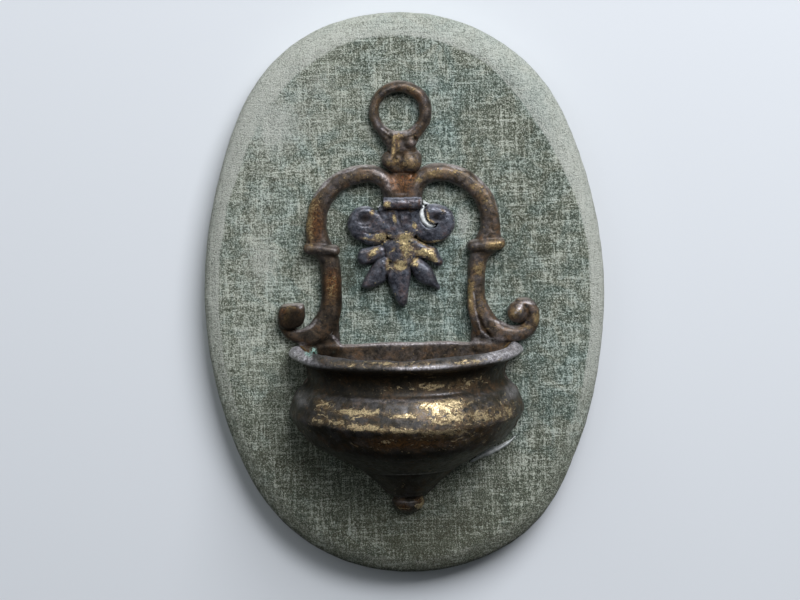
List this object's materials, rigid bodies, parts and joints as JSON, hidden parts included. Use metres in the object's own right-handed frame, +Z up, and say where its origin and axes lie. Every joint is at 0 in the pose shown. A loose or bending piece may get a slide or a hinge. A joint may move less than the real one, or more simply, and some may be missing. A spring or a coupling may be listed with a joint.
{
  "type": "holy water stoup",
  "caption": "Wall-hung holy water stoup: cast bronze scroll frame with ring, palmette and half-round bowl on an oval velvet-covered board, with a swinging wire hanger let into the back.",
  "frame": {"origin": "middle of the back, on the wall-contact face", "axes": "+Z up, +X to the viewer's right, -Y out of the wall towards the viewer"},
  "size_m": [0.1376, 0.0541, 0.194],
  "materials": {
    "frame_bronze": "cast bronze, dark brown patina, worn gilding",
    "bowl_bronze": "cast bronze, black-brown patina, gilding left in streaks",
    "palmette_bronze": "cast bronze, purple-black patina, gilding left in patches",
    "brazing": "dull brazing metal",
    "iron": "rusted",
    "glue": "dried pale adhesive",
    "board_wood": "sawn softwood",
    "velvet": "worn sage green velvet",
    "tack_steel": "blued, spotted with rust",
    "card": "grey-brown card",
    "lining_paper": "aged brown paper",
    "screw_steel": "plain steel",
    "hanger_brass": "tarnished brass"
  },
  "bodies": {
    "plaque": {"scroll_frame": "frame_bronze", "bowl_shell": "bowl_bronze", "brazed_seam": "brazing", "drop_finial": "bowl_bronze", "hanging_ring": "frame_bronze", "ring_dowel": "iron", "palmette": "palmette_bronze", "palmette_rivet": "iron", "glue_beads": "glue", "oval_board": "board_wood", "velvet_cover": "velvet", "velvet_tacks": "tack_steel", "infill_card": "card", "back_lining": "lining_paper", "mounting_screws": "screw_steel", "screw_washers": "screw_steel", "hanger_tab": "hanger_brass", "hanger_nails": "hanger_brass"},
    "hanger": {"hanger_loop": "hanger_brass"}
  },
  "joints": [
    {"name": "hanger_swing", "type": "hinge", "parent": "plaque", "child": "hanger", "pos_m": [0, -0.00475, 0.066], "axis": [1, 0, 0], "range_deg": [0, 180]}
  ]
}
